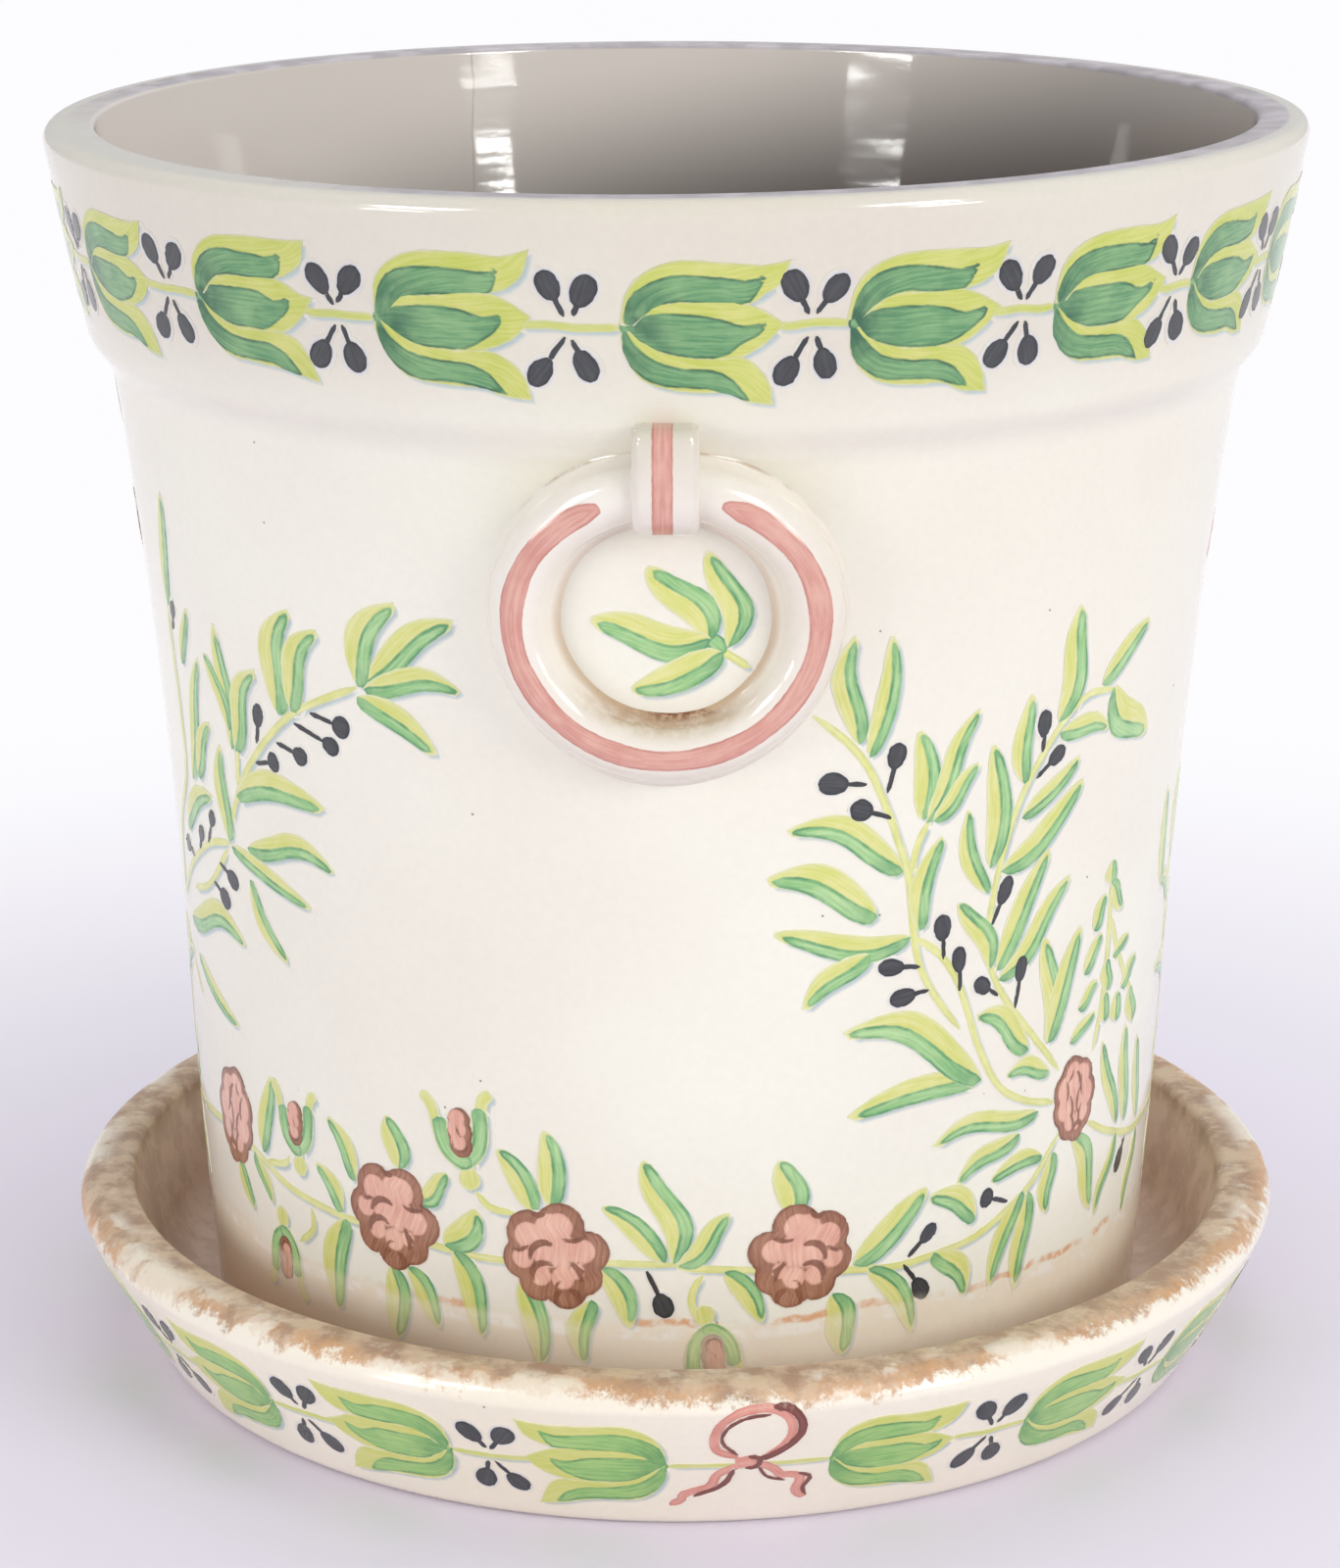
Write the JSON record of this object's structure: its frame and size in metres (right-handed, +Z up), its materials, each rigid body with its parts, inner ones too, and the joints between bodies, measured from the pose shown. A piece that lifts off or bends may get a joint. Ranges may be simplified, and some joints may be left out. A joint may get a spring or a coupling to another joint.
{
  "type": "plant pot with saucer",
  "caption": "Glazed ceramic planter with flared collar, tapered body, drain hole and relief ring handles, standing in a drip saucer.",
  "frame": {"origin": "on the pot's axis, at the level of the ground under the saucer", "axes": "+Z up along the pot's axis; -Y towards the front ring handle; +X to its right"},
  "size_m": [0.353, 0.353, 0.3573],
  "materials": {
    "cream_glaze": "glossy ivory tin glaze",
    "saucer_glaze": "glossy ivory tin glaze with tan water stains on the rim",
    "leaf_paint": "yellow-green wash and green brush strokes in the glaze",
    "berry_paint": "charcoal brush strokes in the glaze",
    "rose_paint": "pink brush strokes and brown outline in the glaze"
  },
  "bodies": {
    "saucer": {"saucer": "saucer_glaze"},
    "pot": {"pot": "cream_glaze", "ring_handle_front": "cream_glaze", "ring_handle_back": "cream_glaze", "ring_strap_front": "cream_glaze", "ring_strap_back": "cream_glaze"}
  },
  "joints": [
    {"name": "pot_lift", "type": "slide", "parent": "saucer", "child": "pot", "axis": [0, 0, 1], "range_m": [0, 0.1]}
  ]
}
